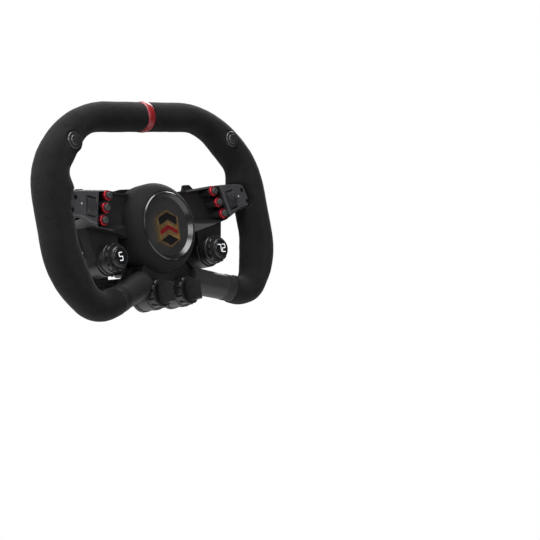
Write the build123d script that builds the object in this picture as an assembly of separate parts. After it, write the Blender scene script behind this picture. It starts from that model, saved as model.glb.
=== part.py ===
from build123d import *
import os
from math import cos, radians, sin

# Sim-racing steering wheel, millimetres.
# X points to the driver's right, Y points away from the driver, Z points up.
# The origin is the centre of the quick release's mating face, on the steering axis.

# ---- overall sizes of the rim
rim_width = 290.0
rim_top = 118.5
rim_bottom = 79.0
grip_depth = 28.0
grip_round = 12.9
top_thickness = 27.5
side_thickness = 34.0
bottom_thickness = 26.5
rim_lean = 2.3
mark_width = 9.0
mark_thickness = 1.2
frame_inset = 9.0
frame_thickness = 8.0
ear_low = 13.0
ear_high = 32.0
spigot_radius = 5.0
standoff_radius = 4.2

# ---- depths along the steering axis, from the mating face towards the driver
qr_barrel_length = 20.0
qr_flange_thickness = 6.0
module_depth = 20.0
plate_thickness = 4.0
arm_depth = 23.5
panel_thickness = 2.5
ring_over_panel = 2.0
rim_behind_panel = 8.4

# ---- hub, dome and badge
dome_radius = 42.5
dome_wall = 2.5
dome_straight = 10.0
core_radius = 36.0
core_wall = 3.0
core_height = 9.0
ring_radius = 32.1
ring_bore = 27.6
ring_height = 6.0
badge_plate_thickness = 2.0
badge_recess = 4.0
emblem_width = 27.0
emblem_height = 35.0
emblem_raise = 2.2
chevron_reach = 9.6
chevron_height = 3.2

# ---- upper arms and face panels
arm_wall = 2.4
arm_tilt = 14.0
arm_top = 37.4
panel_corner_round = 6.0
well_floor_depth = 14.0
barrel_diameter = 8.4
ring_diameter = 9.4
cap_diameter = 6.0
cap_travel = 1.0
cap_proud = 2.4
button_pitch = 12.0
switch_width = 5.0
switch_height = 4.0
roller_radius = 10.0
roller_width = 9.6
roller_proud = 3.4
slot_clearance = 0.8
axle_diameter = 3.0

# ---- thumb buttons on the rim
bezel_diameter = 15.6
bezel_bore = 10.8
bezel_depth = 9.0
thumb_boss_radius = 11.0
thumb_cap_diameter = 10.0
thumb_travel = 1.2

# ---- display dials
dial_x = 66.2
dial_z = -24.6
dial_diameter = 25.6
dial_length = 8.4
dial_cap_diameter = 19.4
dial_cap_length = 4.4
lens_diameter = 15.2
lens_thickness = 2.4
stem_diameter = 13.4
pod_diameter = 31.0
pod_length = 18.7
pod_shoulder_diameter = 28.8
pod_shoulder_length = 2.8
base_ring_diameter = 27.2
base_ring_thickness = 5.9
dial_face_behind_panel = -1.0

# ---- lower selectors
selector_x = 18.0
selector_z = -61.0
selector_proud = 8.6
selector_skirt_diameter = 27.0
selector_skirt_length = 8.0
selector_dish_diameter = 20.4
selector_dish_depth = 3.6
selector_wing_height = 20.4
selector_wing_width = 7.4
selector_wing_length = 11.0
selector_base_diameter = 29.0
selector_base_thickness = 4.4

# ---- lower tubes and collars
collar_x = 71.8
collar_z = -62.4
tube_inner_x = 31.0
tube_inner_z = -50.5
tube_end_radius = 12.2
tube_root_radius = 12.8
tube_rise = 9.0
tube_foot_share = 0.72
collar_radius = 12.7
collar_length = 9.0
collar_rib_pitch = 1.9
collar_groove_width = 0.8
collar_groove_depth = 0.7

# ---- paddles
module_half_width = 35.0
module_half_height = 40.0
module_wall = 3.0
lug_levels = ((34.0, 38.0), (-2.0, 2.0), (-38.0, -34.0))
stop_levels = (18.0, -20.0)
pin_x = 40.5
pin_diameter = 4.0
paddle_reach = 88.0
paddle_thickness = 2.5
shift_top = 43.0
clutch_bottom = -58.0
clutch_tail_x = 26.0

# ---- quick release
flange_radius = 42.0
flange_bolt_circle = 70.0
flange_bolt_diameter = 5.0
bore_radius = 17.0
bore_depth = 17.4
puck_radius = 10.0
puck_thickness = 3.0
puck_pocket_depth = 4.6
barrel_radius = 25.0
sleeve_radius = 29.6
sleeve_length = 10.0
ball_diameter = 6.0
contact_radius = 0.7
contact_height = 1.4

# ---- fits
running_gap = 0.06
slide_gap = 0.15
body_gap = 0.3

# ---- places worked out from the sizes above (depths are Y values)
flange_back = -qr_barrel_length
module_back = flange_back - qr_flange_thickness
plate_back = module_back - module_depth
plate_front = plate_back - plate_thickness
arm_front = plate_front - arm_depth
panel_front = arm_front - panel_thickness
ring_front = panel_front - ring_over_panel
rim_depth = panel_front + rim_behind_panel
well_floor = arm_front + well_floor_depth
dome_front = ring_front + 1.5
dome_back = plate_front
half_width = rim_width / 2
inner_side = half_width - side_thickness
inner_top = rim_top - top_thickness
thumb_x = inner_side - 8.6
thumb_z = inner_top - 10.9
lean_rise = -sin(radians(rim_lean))
dial_front = panel_front + dial_face_behind_panel
dial_back = dial_front + dial_length
base_ring_back = dial_back + body_gap + base_ring_thickness
pod_back = base_ring_back + pod_length
selector_front = panel_front - selector_proud
wing_back = selector_front + selector_wing_length
skirt_back = wing_back + selector_skirt_length
selector_base_back = skirt_back + body_gap + selector_base_thickness
pin_y = plate_back + module_depth / 2
puck_floor = -bore_depth - puck_pocket_depth

SIDES = {"left": -1, "right": 1}


def facing(y):
    """Workplane at depth y, seen from the driver: local x is X, local y is Z."""
    return Plane(origin=(0, y, 0), x_dir=(1, 0, 0), z_dir=(0, -1, 0))


def rim_y(z):
    """Depth of the rim's middle plane at height z: the rim leans back slightly."""
    return rim_depth - lean_rise * z


def slab(sketch, back, front):
    """Solid between two depths from a sketch drawn in X and Z."""
    return extrude(facing(back) * sketch, amount=back - front)


def outline(*corners):
    """Closed face from (x, z, corner radius) points."""
    points = [(x, z) for x, z, _ in corners]
    radii = [r for _, _, r in corners]
    return make_face(FilletPolyline(*points, radius=radii, close=True).edges())


def rod(x, z, radius, back, front):
    """Round bar along the steering axis."""
    return slab(Pos(x, z) * Circle(radius), back, front)


def tube(x, z, outer, inner, back, front):
    """Round sleeve along the steering axis."""
    return slab(Pos(x, z) * (Circle(outer) - Circle(inner)), back, front)


def block(x0, x1, y0, y1, z0, z1):
    """Box from its limits."""
    size = Box(x1 - x0, y1 - y0, z1 - z0)
    return Pos((x0 + x1) / 2, (y0 + y1) / 2, (z0 + z1) / 2) * size


def mirrored(shape, side):
    """A right-hand piece or sketch, or its mirror image for the left."""
    return shape if side > 0 else mirror(shape, about=Plane.YZ)


def leaned(shape):
    """Turn a piece of the rim by the rim's lean."""
    return Pos(0, rim_depth, 0) * Rot(-rim_lean, 0, 0) * Pos(0, -rim_depth, 0) * shape


# ---------------------------------------------------------------- rim

def rim_half():
    """Right half of the rim's outline, from the top centre round to the collar."""
    outer_top = (half_width - 58, rim_top, 105)
    outer_shoulder = (half_width, rim_top - 53.5, 78)
    outer_hip = (half_width, 38.0 - rim_bottom, 75)
    outer_foot = (half_width - 35, 1.4 - rim_bottom, 34)
    run = tube_heading()
    end_x = collar_x - 14 * run.X
    end_z = collar_z - 14 * run.Z
    drop = bottom_thickness / 2 / run.X
    heel_x = collar_x + 16
    heel = (heel_x, collar_z + 16 * run.Z / run.X - drop, 42)
    end_low = (end_x + run.Z * bottom_thickness / 2, end_z - run.X * bottom_thickness / 2, 0)
    end_high = (end_x - run.Z * bottom_thickness / 2, end_z + run.X * bottom_thickness / 2, 0)
    foot_x = inner_side - 13
    inner_foot = (foot_x, collar_z + (foot_x - collar_x) * run.Z / run.X + drop, 12)
    inner_hip = (inner_side, -12, 40)
    inner_waist = (inner_side, 12, 40)
    spoke_lip = (inner_side - 7, 38, 14)
    notch = (inner_side - 3, inner_top - 38.8, 9)
    inner_corner = (inner_side - 36, inner_top, 42)
    return [outer_top, outer_shoulder, outer_hip, outer_foot, heel, end_low, end_high,
            inner_foot, inner_hip, inner_waist, spoke_lip, notch, inner_corner]


def rim_outline(inset=0.0):
    """Whole rim outline, open at the bottom between the two collars."""
    right = rim_half()
    left = [(-x, z, r) for x, z, r in reversed(right)]
    face = outline(*right, *left)
    return face if inset == 0 else offset(face, amount=-inset)


def rim_blank():
    """Rounded bar that follows the rim, cut square to each lower tube at the collar."""
    face = rim_outline()
    front = rim_depth - grip_depth / 2
    back = rim_depth + grip_depth / 2
    bar = slab(face, back, front)
    for y in (front, back):
        rim_edges = [e for e in bar.edges() if abs(e.center().Y - y) < 0.01 and not is_end_edge(e)]
        bar = fillet(rim_edges, grip_round)
    bar = leaned(bar)
    trim = tube_cylinder(grip_depth, -collar_length / 2, collar_length * 3)
    for side in SIDES.values():
        bar -= mirrored(trim, side)
    return bar


def is_end_edge(edge):
    """True for the straight edges across the two open ends of the rim."""
    along = edge.end_point() - edge.start_point()
    run = tube_heading()
    square = abs(abs(along.X) * run.X - abs(along.Z) * abs(run.Z)) < 0.05
    return square and abs(edge.center().X) < collar_x


def tube_run():
    """Right lower tube's axis from the hub to the collar; the tube lies further back at the hub."""
    return Vector(collar_x - tube_inner_x, -tube_rise, collar_z - tube_inner_z)


def tube_heading():
    """Unit vector of the tube's axis as the driver sees it."""
    run = tube_run()
    return Vector(run.X, 0, run.Z).normalized()


def along_tube(distance):
    """Plane square to the right tube, at a distance from its collar centre towards the hub."""
    run = tube_run().normalized()
    centre = Vector(collar_x, rim_y(collar_z), collar_z) - run * distance
    return Plane(origin=centre, x_dir=(0, 1, 0), z_dir=-run)


def tube_cylinder(radius, start, end):
    """Cylinder on the right tube's axis between two distances from the collar centre."""
    return extrude(along_tube(start) * Circle(radius), amount=end - start)


def rim_frame():
    """Flat aluminium bar inside the grip, with an ear at each spoke and a spigot for each tube."""
    front = rim_depth - frame_thickness / 2
    back = rim_depth + frame_thickness / 2
    bar = leaned(slab(rim_outline(frame_inset), back, front))
    trim = tube_cylinder(grip_depth, -collar_length / 2, collar_length * 3)
    ear = leaned(slab(outline((inner_side - 9, ear_low, 2), (inner_side + 16, ear_low, 0),
                              (inner_side + 16, ear_high, 0), (inner_side - 9, ear_high, 2)), back, front))
    spigot = tube_cylinder(spigot_radius, -14.0, 16.0)
    for side in SIDES.values():
        bar -= mirrored(trim, side)
        bar += mirrored(ear, side) + mirrored(spigot, side)
        hole = rod(inner_side - 2, (ear_low + ear_high) / 2, 2.1, plate_front, panel_front)
        bar -= mirrored(hole, side)
    return bar


def band(inset):
    """Rounded bar across the top of the rim, under the centre mark."""
    depth = grip_depth - 2 * inset
    section = RectangleRounded(depth, top_thickness - 2 * inset, grip_round - inset)
    start = (-mark_width / 2, rim_depth, rim_top - top_thickness / 2)
    centre = Plane(origin=start, x_dir=(0, 1, 0), z_dir=(1, 0, 0))
    return leaned(extrude(centre * section, amount=mark_width))


def centre_mark():
    """Red band round the top of the rim."""
    return band(0) - band(mark_thickness)


def arm_face(grow=0.0):
    """Right arm seen from the driver."""
    corner = panel_corner_round
    face = outline((30, arm_top - 4.2, 0), (inner_side - 45, arm_top - 1.4, 20),
                   (inner_side - 8, arm_top, 20), (inner_side + 1.5, arm_top - 1.0, corner),
                   (inner_side + 9.5, 14.6, corner), (inner_side - 6, 12.8, 6),
                   (inner_side - 26.5, 3.0, 5), (30, -9.6, 0))
    return face if grow == 0 else offset(face, amount=grow)


def thumb_pocket(grow=0.0):
    """Round space for one thumb button in the grip."""
    front = thumb_front() - 3
    return rod(thumb_x, thumb_z, bezel_diameter / 2 + grow, thumb_front() + bezel_depth + grow, front)


def thumb_boss():
    """Swelling of the grip round one thumb button."""
    boss = rod(thumb_x, thumb_z, thumb_boss_radius, rim_y(thumb_z) + 6, thumb_front() + 1.4)
    return fillet(boss.faces().sort_by(Axis.Y)[0].outer_wire().edges(), 2.6)


def thumb_front():
    """Front of the thumb button's bezel."""
    return rim_y(thumb_z) - grip_depth / 2 - 1.6


def rim_grip():
    """Foam and suede grip round the frame."""
    grip = rim_blank()
    for side in SIDES.values():
        grip += mirrored(thumb_boss(), side)
    grip -= rim_frame() + centre_mark()
    pocket = slab(arm_face(0.5), plate_back, panel_front - 10)
    for side in SIDES.values():
        grip -= mirrored(pocket, side)
        grip -= mirrored(thumb_pocket(), side)
    return grip


def grip_collars():
    """Ribbed collars between the grip and the lower tubes."""
    half = collar_length / 2
    collar = tube_cylinder(collar_radius, -half, half)
    for k in range(4):
        start = -half + 1.3 + k * collar_rib_pitch
        end = start + collar_groove_width
        core = tube_cylinder(collar_radius - collar_groove_depth, start, end)
        collar -= tube_cylinder(collar_radius + 1, start, end) - core
    return both_sides([collar - tube_cylinder(spigot_radius, -half - 1, half + 1)])


def lower_tube():
    """Smooth tapered tube from the hub to the collar, with a foot on the spoke plate."""
    start = collar_length / 2
    end = tube_run().length
    body = loft([along_tube(start) * Circle(tube_end_radius), along_tube(end) * Circle(tube_root_radius)])
    foot_x, foot_z = foot_place()
    body += rod(foot_x, foot_z, tube_end_radius - 2.5, plate_front, rim_y(collar_z) + tube_rise)
    body -= block(0, half_width, plate_front, 0, -rim_top, 0)
    body -= tube_cylinder(spigot_radius, start - 1, 16.2)
    body -= rod(foot_x, foot_z, 2.1, plate_front + 1, plate_front - 16)
    body -= dome_envelope(body_gap)
    body -= rod(selector_x, selector_z, selector_base_diameter / 2 + 0.4, plate_front, panel_front - 20)
    return body


# ---------------------------------------------------------------- hub and badge

def dome_profile(grow):
    """Side profile of the dome as (radius, depth) edges."""
    r = dome_radius + grow
    front_r = ring_radius + 1.2 + grow
    side_y = dome_back - dome_straight
    front_y = dome_front - grow
    mid = (front_r + (r - front_r) * 0.62, front_y + (side_y - front_y) * 0.3)
    curve = ThreePointArc((front_r, front_y), mid, (r, side_y))
    return r, front_r, side_y, front_y, curve


def dome_envelope(grow=0.0):
    """Solid of revolution inside the dome's outer skin."""
    r, front_r, side_y, front_y, curve = dome_profile(grow)
    back = dome_back
    edges = Polyline((r, side_y), (r, back), (0, back), (0, front_y), (front_r, front_y))
    return revolve(make_face([curve] + list(edges.edges())), Axis.Y)


def hub_dome():
    """Hollow round cover of the hub; its front is open for the badge ring."""
    shell = dome_envelope() - dome_envelope(-dome_wall)
    shell -= rod(0, 0, dome_radius - dome_wall, dome_back, dome_back - 6)
    seat = rod(0, 0, ring_radius + 1.2, dome_front + 6, dome_front)
    neck = rod(0, 0, ring_bore - 2, dome_front + 8, dome_front - 1)
    floor = seat - neck
    groove = rod(0, 0, ring_radius + 0.1, dome_front + 4.6, dome_front - 1)
    return shell + floor - groove


def hub_core():
    """Round chassis under the dome that holds the main board."""
    cup = rod(0, 0, core_radius, plate_front, plate_front - core_height)
    cup -= rod(0, 0, core_radius - core_wall, plate_front - 3, plate_front - core_height - 1)
    for x, z in board_posts():
        cup += rod(x, z, 3.0, plate_front - 3, plate_front - 5)
        cup -= rod(x, z, 1.3, plate_front + 1, plate_front - 6)
    return cup


def board_posts():
    """Places of the four screws that hold the board."""
    reach = core_radius - core_wall - 9
    return [(reach * cos(a), reach * sin(a)) for a in (radians(45 + 90 * k) for k in range(4))]


def main_board():
    """Circuit board with its processor and two connectors."""
    front = plate_front - 5
    board = rod(0, 0, core_radius - core_wall - 0.5, front, front - 1.6)
    for x, z in board_posts():
        board -= rod(x, z, 1.3, front + 1, front - 3)
    board += block(-7, 7, front - 3.4, front - 1.6, -7, 7)
    for x in (-20, 20):
        board += block(x - 3, x + 3, front - 5.0, front - 1.6, -7, 7)
    return board


def badge_ring():
    """Bright ring with a flared bore."""
    back = ring_front + ring_height
    edges = Polyline((ring_bore, back), (ring_radius, back), (ring_radius, ring_front + 1.0),
                     (ring_radius - 0.9, ring_front), (ring_radius - 1.7, ring_front),
                     (ring_bore, ring_front + badge_recess), (ring_bore, back))
    return revolve(make_face(edges.edges()), Axis.Y)


def badge_plate():
    """Dished plate inside the ring."""
    front = ring_front + badge_recess
    plate = rod(0, 0, ring_bore - 0.05, front + badge_plate_thickness, front)
    dish = Pos(0, front - 139.2, 0) * Sphere(140)
    return plate - dish


def emblem_face(inset=0.0):
    """Long six-sided emblem."""
    half_w = emblem_width / 2 - inset
    half_h = emblem_height / 2 - inset
    shoulder = emblem_height * 0.3
    return outline((0, half_h, 1), (half_w, shoulder, 1), (half_w, -shoulder, 1), (0, -half_h, 1),
                   (-half_w, -shoulder, 1), (-half_w, shoulder, 1))


def badge_emblem():
    """Raised emblem with a rim, a sunk field and two chevrons."""
    front = ring_front + badge_recess
    centre = Pos(0, -2.6)
    emblem = slab(centre * emblem_face(), front + 0.9, front - emblem_raise)
    emblem -= slab(centre * emblem_face(1.8), front - emblem_raise + 1.0, front - emblem_raise - 1)
    for z in (-5.5, 3.5):
        low = z - chevron_height
        chevron = outline((-chevron_reach, low, 0), (0, low + 5, 0), (chevron_reach, low, 0),
                          (chevron_reach, z, 0), (0, z + 5, 0), (-chevron_reach, z, 0))
        emblem += slab(centre * chevron, front - emblem_raise + 1.0, front - emblem_raise + 0.2)
    return emblem - badge_plate()


# ---------------------------------------------------------------- spoke plate and arms

def spoke_plate():
    """Structural plate behind the hub, the arms, the pods and the selectors."""
    face = Circle(dome_radius - 0.5)
    for side in SIDES.values():
        face += mirrored(offset(arm_face(), amount=-1.0), side)
        face += mirrored(pod_neck(-1.0), side)
        face += Pos(side * selector_x, selector_z) * Circle(selector_base_diameter / 2)
        face += mirrored(outline((0, -40, 0), (25, -30, 0), (foot_place()[0] + 6, foot_place()[1] + 7, 3),
                                    (foot_place()[0] + 9, foot_place()[1] - 8, 3), (0, -66, 0)), side)
    plate = slab(face, plate_back, plate_front)
    for side in SIDES.values():
        plate -= rod(side * dial_x, dial_z, pod_diameter / 2 + 0.2, plate_back + 1, plate_front - 1)
    for side in SIDES.values():
        for x, z in plate_holes():
            plate -= rod(side * x, z, 2.1, plate_back + 1, plate_front - 1)
    return plate


def foot_place():
    """Centre of the lower tube's foot in X and Z."""
    run = tube_run()
    return collar_x - run.X * tube_foot_share, collar_z - run.Z * tube_foot_share


def plate_holes():
    """Screw holes of the right half of the spoke plate: ear, arm, pod and tube foot."""
    return [(inner_side - 2, (ear_low + ear_high) / 2), (inner_side - 55, arm_top - 12),
            (dial_x + 4, dial_z + 20), foot_place()]


def panel_inner_edge(z):
    """X of the right panel's inner edge at height z."""
    return inner_side - 32.6 + (arm_top - z) * sin(radians(arm_tilt)) * 1.12


def panel_face(inset=0.0):
    """Right face panel: the outer part of the arm outline."""
    edge = outline((panel_inner_edge(60), 60, 0), (half_width, 60, 0), (half_width, -20, 0),
                   (panel_inner_edge(-20), -20, 0))
    return offset(arm_face(), amount=-0.8 - inset) & edge


def slot_frame():
    """Place of the right roller's centre in X and Z."""
    return inner_side - 19.1, arm_top - 15.8


def roller_slot(grow=0.0):
    """Tilted slot for the roller."""
    x, z = slot_frame()
    size = Rectangle(roller_width + 2 * slot_clearance + grow, 2 * roller_radius - 1.6 + grow)
    return Pos(x, z) * Rot(0, 0, arm_tilt) * size


def button_places():
    """Centres of the three right face buttons, top to bottom."""
    lean = radians(22.7)
    top_x = inner_side - 41.9
    top_z = arm_top - 6.6
    return [(top_x + k * button_pitch * sin(lean), top_z - k * button_pitch * cos(lean)) for k in range(3)]


def arm_housing():
    """Right arm: a shell that is open at the back, with a sunk well for the buttons."""
    body = slab(arm_face(), plate_front, arm_front)
    body = chamfer(body.faces().sort_by(Axis.Y)[0].outer_wire().edges(), 1.2)
    body -= slab(offset(arm_face(), amount=-arm_wall), plate_front, well_floor + arm_wall)
    body -= slab(panel_face(arm_wall), well_floor + arm_wall, arm_front + arm_wall)
    body -= well_cut()
    body -= slab(roller_slot(), plate_front, arm_front - 1)
    roller_room = Circle(roller_radius + slot_clearance)
    body -= extrude(roller_axis() * roller_room, amount=roller_width / 2 + slot_clearance, both=True)
    body -= roller_axle()
    for x, z in button_places():
        body -= rod(x, z, 2.4, plate_front, arm_front)
        body -= rod(x, z, barrel_diameter / 2, well_floor, arm_front - 1)
        body -= rod(x, z, ring_diameter / 2 + slide_gap, arm_front + 0.6, panel_front)
    for x, z in panel_screw_places():
        body -= rod(x, z, 1.2, arm_front + arm_wall + 1, arm_front - 1)
    lean_room = frame_thickness / 2 + 0.4
    ear = outline((inner_side - 12, ear_low - 1.5, 1), (inner_side + 40, ear_low - 1.5, 0),
                  (inner_side + 40, ear_high + 1.5, 0), (inner_side - 12, ear_high + 1.5, 1))
    body -= leaned(slab(ear, rim_depth + lean_room, rim_depth - lean_room))
    body -= dome_envelope(0.2)
    x, z = plate_holes()[1]
    body += rod(x, z, 3.2, plate_front, well_floor + arm_wall - 0.5)
    return body - rod(x, z, 1.6, plate_front + 1, plate_front - 8)


def well_cut():
    """Well with a sloping lower wall, and the arm's front falling back towards the hub."""
    top_x = panel_inner_edge(arm_top - 2)
    floor = Polygon((26, 5.4), (26, arm_top - 5.8), (top_x - 1.5, arm_top - 3.2),
                    (panel_inner_edge(6) - 2.5, 6.4), align=None)
    mouth = Polygon((26, -9.4), (26, arm_top - 5.4), (top_x - 0.5, arm_top - 2.6),
                    (panel_inner_edge(3) - 3.0, 3.2), align=None)
    well = loft([facing(well_floor) * floor, facing(arm_front - 1) * mouth], ruled=True)
    fall = Plane.XY * Polygon((24, arm_front - 2), (inner_side - 38, arm_front - 2),
                              (inner_side - 42, arm_front), (44, well_floor - 4),
                              (24, well_floor - 2), align=None)
    return well + extrude(fall, amount=60, both=True)


def face_panel():
    """Right face panel: a chamfered plate with the roller slot."""
    plate = slab(panel_face(), arm_front, panel_front)
    plate = chamfer(plate.faces().sort_by(Axis.Y)[0].outer_wire().edges(), 1.0)
    plate -= slab(roller_slot(), arm_front + 1, panel_front - 1)
    for x, z in panel_screw_places():
        plate -= rod(x, z, 1.3, arm_front + 1, panel_front - 1)
        plate -= rod(x, z, 2.3, panel_front + 1.4, panel_front - 1)
    return plate


def panel_screw_places():
    """Two panel screws beside the roller."""
    return [(inner_side - 2.5, arm_top - 7.0), (inner_side + 3.5, 19.5)]


def panel_screws():
    """Countersunk panel screws, both sides."""
    screws = []
    for side in SIDES.values():
        for x, z in panel_screw_places():
            head = rod(side * x, z, 2.1, panel_front + 1.4, panel_front + 0.3)
            head -= rod(side * x, z, 0.9, panel_front + 1.0, panel_front)
            screws.append(head + rod(side * x, z, 1.2, arm_front + arm_wall, panel_front + 1.4))
    return Compound(screws)


def both_sides(shapes):
    """The right-hand pieces and their mirror images as one group."""
    return Compound([mirrored(shape, side) for side in SIDES.values() for shape in shapes])


def button_barrels():
    """Dark barrels that carry the face buttons."""
    barrels = []
    for x, z in button_places():
        barrel = tube(x, z, barrel_diameter / 2, cap_diameter / 2 + slide_gap, well_floor - 3, arm_front + 0.5)
        barrels.append(barrel + tube(x, z, barrel_diameter / 2, 2.2, well_floor, well_floor - 3))
    return both_sides(barrels)


def button_rings():
    """Anodised rings on the barrels."""
    rings = []
    for x, z in button_places():
        ring = tube(x, z, ring_diameter / 2, cap_diameter / 2 + slide_gap, arm_front + 0.5, panel_front + 0.2)
        rings.append(fillet(ring.faces().sort_by(Axis.Y)[0].outer_wire().edges(), 0.8))
    return both_sides(rings)


def face_button(x, z, side):
    """Cap with a stem that reaches its switch."""
    front = panel_front + 0.2 - cap_proud
    cap = rod(x, z, cap_diameter / 2, well_floor - 3 - cap_travel - 0.4, front)
    cap = fillet(cap.faces().sort_by(Axis.Y)[0].outer_wire().edges(), 0.6)
    cap += rod(x, z, 1.4, well_floor + arm_wall - cap_travel - 0.2, well_floor - 3 - cap_travel - 1)
    return mirrored(cap, side)


def button_switches():
    """A small switch behind each face button, and one at the bottom of each thumb cup."""
    floor_back = well_floor + arm_wall
    half = switch_width / 2
    switches = []
    for x, z in button_places():
        switches.append(block(x - half, x + half, floor_back, floor_back + switch_height, z - half, z + half))
    cup_floor = thumb_front() + bezel_depth - 3.5
    switches.append(rod(thumb_x, thumb_z, 3.0, cup_floor, cup_floor - 0.9))
    return both_sides(switches)


def roller_axis():
    """Right roller's axis as a plane square to it."""
    x, z = slot_frame()
    tilt = radians(arm_tilt)
    centre = (x, panel_front - roller_proud + roller_radius, z)
    return Plane(origin=centre, x_dir=(0, 1, 0), z_dir=(cos(tilt), 0, sin(tilt)))


def roller():
    """Ribbed thumb roller."""
    plane = roller_axis()
    half = roller_width / 2
    body = extrude(plane * Circle(roller_radius), amount=half, both=True)
    for k in range(5):
        groove = plane.offset(-half + 1.3 + k * 1.6) * (Circle(roller_radius + 1) - Circle(roller_radius - 0.5))
        body -= extrude(groove, amount=0.6)
    return body - extrude(plane * Circle(axle_diameter / 2 + running_gap), amount=half + 1, both=True)


def roller_axle():
    """Right roller's axle with its encoder body and its bearing block."""
    plane = roller_axis()
    half = roller_width / 2
    axle = extrude(plane * Circle(axle_diameter / 2), amount=half + 2.8, both=True)
    axle += extrude(plane.offset(half + 0.9) * Pos(2.4, 0) * Rectangle(8, 8), amount=1.9)
    return axle + extrude(plane.offset(-half - 2.8) * Pos(1.5, 0) * Rectangle(6, 6), amount=1.9)


def roller_axles():
    """Both axles."""
    return both_sides([roller_axle()])


# ---------------------------------------------------------------- thumb buttons

def thumb_bezels():
    """Round cups let into the grip, one each side."""
    front = thumb_front()
    cup = rod(thumb_x, thumb_z, bezel_diameter / 2, front + bezel_depth, front)
    cup = fillet(cup.faces().sort_by(Axis.Y)[0].outer_wire().edges(), 1.0)
    cup -= rod(thumb_x, thumb_z, bezel_bore / 2, front + bezel_depth - 3.5, front - 1)
    return both_sides([cup])


def thumb_button():
    """Domed thumb cap."""
    front = thumb_front() - 0.9
    back = thumb_front() + bezel_depth - 3.5 - thumb_travel - 1.3
    cap = rod(thumb_x, thumb_z, thumb_cap_diameter / 2, back, front)
    return fillet(cap.faces().sort_by(Axis.Y)[0].outer_wire().edges(), 1.2)


# ---------------------------------------------------------------- display dials

def pod_neck(grow=0.0):
    """Neck between the pod and the arm: its outer side runs on from the pod's side."""
    return outline((dial_x - 14 - grow, dial_z + 34, 0), (dial_x + 23 + grow, dial_z + 34, 0),
                   (dial_x + 21.5 + grow, dial_z + 26, 0), (dial_x + 15.2 + grow, dial_z - 1, 0),
                   (dial_x, dial_z, 0), (dial_x - 14 - grow, dial_z + 4, 0))


def display_pod():
    """Pod housing with a neck up to the arm and the stem that carries the display."""
    radius = pod_diameter / 2
    pod = rod(dial_x, dial_z, radius, pod_back, base_ring_back + pod_shoulder_length)
    pod = chamfer(pod.faces().sort_by(Axis.Y)[0].outer_wire().edges(), 0.5)
    pod += rod(dial_x, dial_z, pod_shoulder_diameter / 2, pod_back, base_ring_back)
    pod += slab(pod_neck(), plate_front, base_ring_back + 1.0)
    pod -= slab(offset(arm_face(), amount=0.2), plate_back, panel_front - 20)
    pod -= rod(dial_x, dial_z, radius - 3, pod_back - 3, base_ring_back + 2)
    stem_bore = stem_diameter / 2 - 2.2
    pod += tube(dial_x, dial_z, stem_diameter / 2, stem_bore, base_ring_back + 2, dial_front + lens_thickness)
    pod -= rod(dial_x, dial_z, stem_bore, pod_back - 3, dial_front)
    screw_x, screw_z = plate_holes()[2]
    pod -= rod(screw_x, screw_z, 1.5, plate_front + 1, plate_front - 5)
    return pod - dome_envelope(0.3)


def dial_base_rings():
    """Fixed ring under each dial."""
    ring = tube(dial_x, dial_z, base_ring_diameter / 2, stem_diameter / 2, base_ring_back, dial_back + body_gap)
    return both_sides([chamfer(ring.faces().sort_by(Axis.Y)[0].outer_wire().edges(), 0.8)])


def dial():
    """Castellated ring with a bright round cap that turns round the display."""
    cap_back = dial_front + dial_cap_length
    ring = rod(dial_x, dial_z, dial_diameter / 2, dial_back, cap_back)
    ring = chamfer(ring.faces().sort_by(Axis.Y)[0].outer_wire().edges(), 0.6)
    for k in range(12):
        a = radians(30 * k)
        r = dial_diameter / 2 + 0.3
        ring -= rod(dial_x + r * cos(a), dial_z + r * sin(a), 1.7, dial_back - 1.4, cap_back - 1)
    cap = rod(dial_x, dial_z, dial_cap_diameter / 2, dial_back - 1, dial_front + 0.3)
    body = ring + chamfer(cap.faces().sort_by(Axis.Y)[0].outer_wire().edges(), 0.9)
    body -= rod(dial_x, dial_z, stem_diameter / 2 + running_gap, dial_back + 1, dial_front)
    window_back = dial_front + lens_thickness + body_gap
    return body - rod(dial_x, dial_z, lens_diameter / 2 + slide_gap, window_back, dial_front - 1)


def display_lenses():
    """Round display window on each stem."""
    lens = rod(dial_x, dial_z, lens_diameter / 2, dial_front + lens_thickness, dial_front)
    lens = fillet(lens.faces().sort_by(Axis.Y)[0].outer_wire().edges(), 0.5)
    return both_sides([lens])


def dial_encoders():
    """Encoder ring inside each pod, under the dial."""
    outer = pod_diameter / 2 - 3.2
    ring = tube(dial_x, dial_z, outer, stem_diameter / 2 - 2, plate_front - 1.0, plate_front - 4.5)
    return both_sides([ring])


# ---------------------------------------------------------------- lower selectors

def selector_housing():
    """Twin round housing below the hub for the two rotary switches."""
    face = Pos(selector_x, selector_z) * Circle(selector_base_diameter / 2 - 0.6)
    face += Pos(-selector_x, selector_z) * Circle(selector_base_diameter / 2 - 0.6)
    face += Pos(0, selector_z + 6) * Rectangle(2 * selector_x, 20)
    body = slab(face, plate_front, selector_base_back)
    web = outline((-27, -33, 0), (27, -33, 0), (36, selector_z + 14, 3), (22, selector_z + 4, 0),
                  (-22, selector_z + 4, 0), (-36, selector_z + 14, 3))
    body += slab(web, plate_front, selector_base_back - 3)
    base_room = selector_base_diameter / 2 + 0.4
    for side in SIDES.values():
        body -= rod(side * selector_x, selector_z, base_room, selector_base_back, panel_front - 20)
        body -= rod(side * selector_x, selector_z, 9.6, plate_front + 1, selector_base_back + 2)
        body -= rod(side * selector_x, selector_z, 3.4, plate_front, selector_base_back - 4)
    body -= dome_envelope(body_gap)
    for side in SIDES.values():
        body -= mirrored(lower_tube(), side)
    return body


def selector_base():
    """Fixed ring under a selector."""
    ring = tube(0, 0, selector_base_diameter / 2, 3.4, selector_base_back, skirt_back + body_gap)
    return chamfer(ring.faces().sort_by(Axis.Y)[0].outer_wire().edges(), 0.7)


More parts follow.
